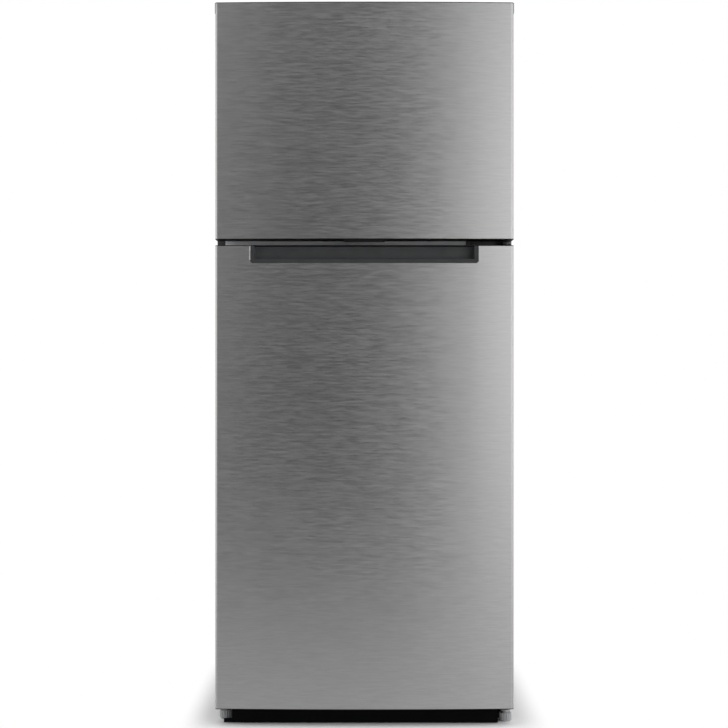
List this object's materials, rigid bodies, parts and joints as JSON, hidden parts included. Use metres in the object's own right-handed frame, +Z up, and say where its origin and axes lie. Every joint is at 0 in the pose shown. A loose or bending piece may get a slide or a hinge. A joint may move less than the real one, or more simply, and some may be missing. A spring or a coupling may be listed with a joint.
{
  "type": "top freezer refrigerator",
  "caption": "Free-standing refrigerator with a freezer door above a fridge door, bowed brushed steel fronts, a pocket handle, hinged right, with shelves, bins, drawers and levelling feet",
  "frame": {"origin": "on the floor, in the middle of the width and of the whole depth", "axes": "+Z up, -Y out of the doors' fronts, +X to the right seen from the front, where the hinges are"},
  "size_m": [0.7, 0.72, 1.71],
  "materials": {
    "steel_door": "satin",
    "cabinet_paint": "satin",
    "rail_paint": "satin",
    "galvanised": "satin",
    "hinge_black": "satin",
    "zinc_steel": "satin",
    "foam": "matte",
    "liner_white": "satin",
    "trim_white": "satin",
    "cap_black": "satin",
    "pocket_grey": "satin",
    "plastic_black": "matte",
    "foot_grey": "satin",
    "roller_plastic": "satin",
    "gasket_rubber": "matte",
    "grommet_rubber": "matte",
    "compressor_black": "gloss",
    "copper": "satin",
    "coil_aluminium": "satin",
    "glass": "gloss",
    "clear_plastic": "gloss",
    "lens_plastic": "satin"
  },
  "bodies": {
    "cabinet": {"cabinet_wrapper": "cabinet_paint", "back_panel": "galvanised", "bottom_panel": "galvanised", "cabinet_foam": "foam", "freezer_liner": "liner_white", "fridge_liner": "liner_white", "front_rails": "rail_paint", "kick_plate": "plastic_black", "wall_spacers": "plastic_black", "foot_bracket": "hinge_black", "compressor_base": "galvanised", "roller_axles": "zinc_steel", "compressor": "compressor_black", "compressor_grommets": "grommet_rubber", "evaporation_tray": "plastic_black", "refrigerant_pipes": "copper", "compressor_cover": "galvanised", "cord_inlet": "plastic_black", "top_hinge": "hinge_black", "mid_hinge": "hinge_black", "bottom_hinge": "hinge_black", "screws": "hinge_black", "hinge_cover": "cap_black", "hinge_plugs": "cap_black", "shelf_panes": "glass", "shelf_trims": "trim_white", "evaporator_cover": "liner_white", "evaporator": "coil_aluminium", "fan_motor": "compressor_black", "air_duct": "liner_white", "control_box": "liner_white", "lamp_cover": "lens_plastic", "switch_housing": "liner_white"},
    "freezer_door": {"freezer_door_skin": "steel_door", "freezer_door_foam": "foam", "freezer_door_liner": "liner_white", "freezer_door_top_cap": "cap_black", "freezer_door_bottom_cap": "cap_black", "freezer_door_gasket": "gasket_rubber", "freezer_door_bins": "clear_plastic", "freezer_door_bushes": "cap_black"},
    "fridge_door": {"fridge_door_skin": "steel_door", "fridge_door_foam": "foam", "fridge_door_liner": "liner_white", "fridge_door_top_cap": "cap_black", "fridge_door_bottom_cap": "cap_black", "fridge_door_gasket": "gasket_rubber", "fridge_door_bins": "clear_plastic", "fridge_door_bushes": "cap_black", "fridge_handle_pocket": "pocket_grey"},
    "front_foot_left": {"front_foot_left": "foot_grey"},
    "front_foot_right": {"front_foot_right": "foot_grey"},
    "rear_roller_left": {"rear_roller_left": "roller_plastic"},
    "rear_roller_right": {"rear_roller_right": "roller_plastic"},
    "fan": {"evaporator_fan": "trim_white"},
    "freezer_dial": {"freezer_dial": "trim_white"},
    "thermostat_dial": {"thermostat_dial": "trim_white"},
    "switch_plunger": {"switch_plunger": "trim_white"},
    "crisper_left": {"crisper_drawer_left": "clear_plastic"},
    "crisper_right": {"crisper_drawer_right": "clear_plastic"}
  },
  "joints": [
    {"name": "freezer_door_hinge", "type": "hinge", "parent": "cabinet", "child": "freezer_door", "pos_m": [0.334, -0.32, 1.1374], "axis": [0, 0, 1], "range_deg": [0, 130]},
    {"name": "fridge_door_hinge", "type": "hinge", "parent": "cabinet", "child": "fridge_door", "pos_m": [0.334, -0.32, 0.0395], "axis": [0, 0, 1], "range_deg": [0, 130]},
    {"name": "left_foot_screw", "type": "hinge", "parent": "cabinet", "child": "front_foot_left", "pos_m": [-0.331, -0.2616, 0], "axis": [0, 0, 1], "range_deg": [-1080, 1080]},
    {"name": "right_foot_screw", "type": "hinge", "parent": "cabinet", "child": "front_foot_right", "pos_m": [0.334, -0.29, 0], "axis": [0, 0, 1], "range_deg": [-1080, 1080]},
    {"name": "left_roller_spin", "type": "hinge", "parent": "cabinet", "child": "rear_roller_left", "pos_m": [-0.29, 0.278, 0.015], "axis": [1, 0, 0], "continuous": true},
    {"name": "right_roller_spin", "type": "hinge", "parent": "cabinet", "child": "rear_roller_right", "pos_m": [0.29, 0.278, 0.015], "axis": [1, 0, 0], "continuous": true},
    {"name": "fan_spin", "type": "hinge", "parent": "cabinet", "child": "fan", "pos_m": [0, 0.232, 1.50464], "axis": [0, 1, 0], "continuous": true},
    {"name": "freezer_dial_turn", "type": "hinge", "parent": "cabinet", "child": "freezer_dial", "pos_m": [0.18073, 0.198, 1.50464], "axis": [0, -1, 0], "range_deg": [-60, 60]},
    {"name": "thermostat_turn", "type": "hinge", "parent": "cabinet", "child": "thermostat_dial", "pos_m": [-0.0575, -0.147, 1.06245], "axis": [0, -1, 0], "range_deg": [-135, 135]},
    {"name": "light_switch", "type": "slide", "parent": "cabinet", "child": "switch_plunger", "axis": [0, -1, 0], "range_m": [0, 0.006]},
    {"name": "crisper_left_slide", "type": "slide", "parent": "cabinet", "child": "crisper_left", "axis": [0, -1, 0], "range_m": [0, 0.03]},
    {"name": "crisper_right_slide", "type": "slide", "parent": "cabinet", "child": "crisper_right", "axis": [0, -1, 0], "range_m": [0, 0.03]}
  ],
  "couplings": [
    {"joint": "light_switch", "follows": "fridge_door_hinge", "m_per_rad": 0.002644}
  ]
}
